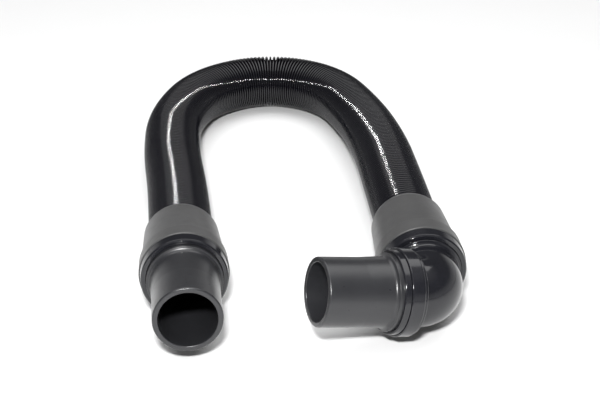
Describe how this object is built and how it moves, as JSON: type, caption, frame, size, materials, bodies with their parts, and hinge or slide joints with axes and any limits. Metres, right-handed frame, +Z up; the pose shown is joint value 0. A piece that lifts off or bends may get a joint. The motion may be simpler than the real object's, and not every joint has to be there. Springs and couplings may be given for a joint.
{
  "type": "vacuum hose",
  "caption": "Ribbed stretch vacuum hose lying in a U, with a straight swivelling nozzle at one end and a swivelling elbow nozzle at the other.",
  "frame": {"origin": "on the floor, at the centre of the box around both end fittings without the hose", "axes": "+Z up; +Y from the open ends towards the hose's far bend; +X towards the elbow end"},
  "size_m": [0.2059, 0.3909, 0.0566],
  "materials": {
    "hose_wall": "glossy black ribbed soft plastic",
    "boot_rubber": "matte dark grey",
    "nozzle_plastic": "satin dark grey",
    "glossy_black": "glossy near-black",
    "socket_plastic": "plain black moulding",
    "seal_rubber": "greased black rubber",
    "bearing_plastic": "off-white, slippery"
  },
  "bodies": {
    "hose": {"corrugated_hose": "hose_wall", "straight_end_boot": "boot_rubber", "straight_end_adapter": "socket_plastic", "straight_end_gasket": "seal_rubber", "straight_end_lock_ring": "glossy_black", "elbow_end_boot": "boot_rubber", "elbow_end_adapter": "socket_plastic", "elbow_end_gasket": "seal_rubber", "elbow_end_lock_ring": "glossy_black"},
    "straight_nozzle": {"straight_nozzle": "nozzle_plastic", "straight_end_washer": "bearing_plastic", "straight_end_seal": "seal_rubber"},
    "elbow": {"elbow_body": "glossy_black", "elbow_end_washer": "bearing_plastic", "elbow_end_seal": "seal_rubber", "outlet_lock_ring": "glossy_black"},
    "elbow_nozzle": {"elbow_nozzle": "nozzle_plastic", "outlet_washer": "bearing_plastic", "outlet_seal": "seal_rubber"}
  },
  "joints": [
    {"name": "straight_nozzle_swivel", "type": "hinge", "parent": "hose", "child": "straight_nozzle", "pos_m": [-0.06657, -0.00103, 0.02618], "axis": [0.1172, -0.9917, 0.053], "continuous": true},
    {"name": "elbow_swivel", "type": "hinge", "parent": "hose", "child": "elbow", "pos_m": [0.06855, 0.00791, 0.02581], "axis": [0.0887, -0.9959, -0.0195], "continuous": true},
    {"name": "elbow_nozzle_swivel", "type": "hinge", "parent": "elbow", "child": "elbow_nozzle", "pos_m": [0.05059, -0.02735, 0.0294], "axis": [-0.9311, -0.3125, 0.1882], "continuous": true}
  ]
}
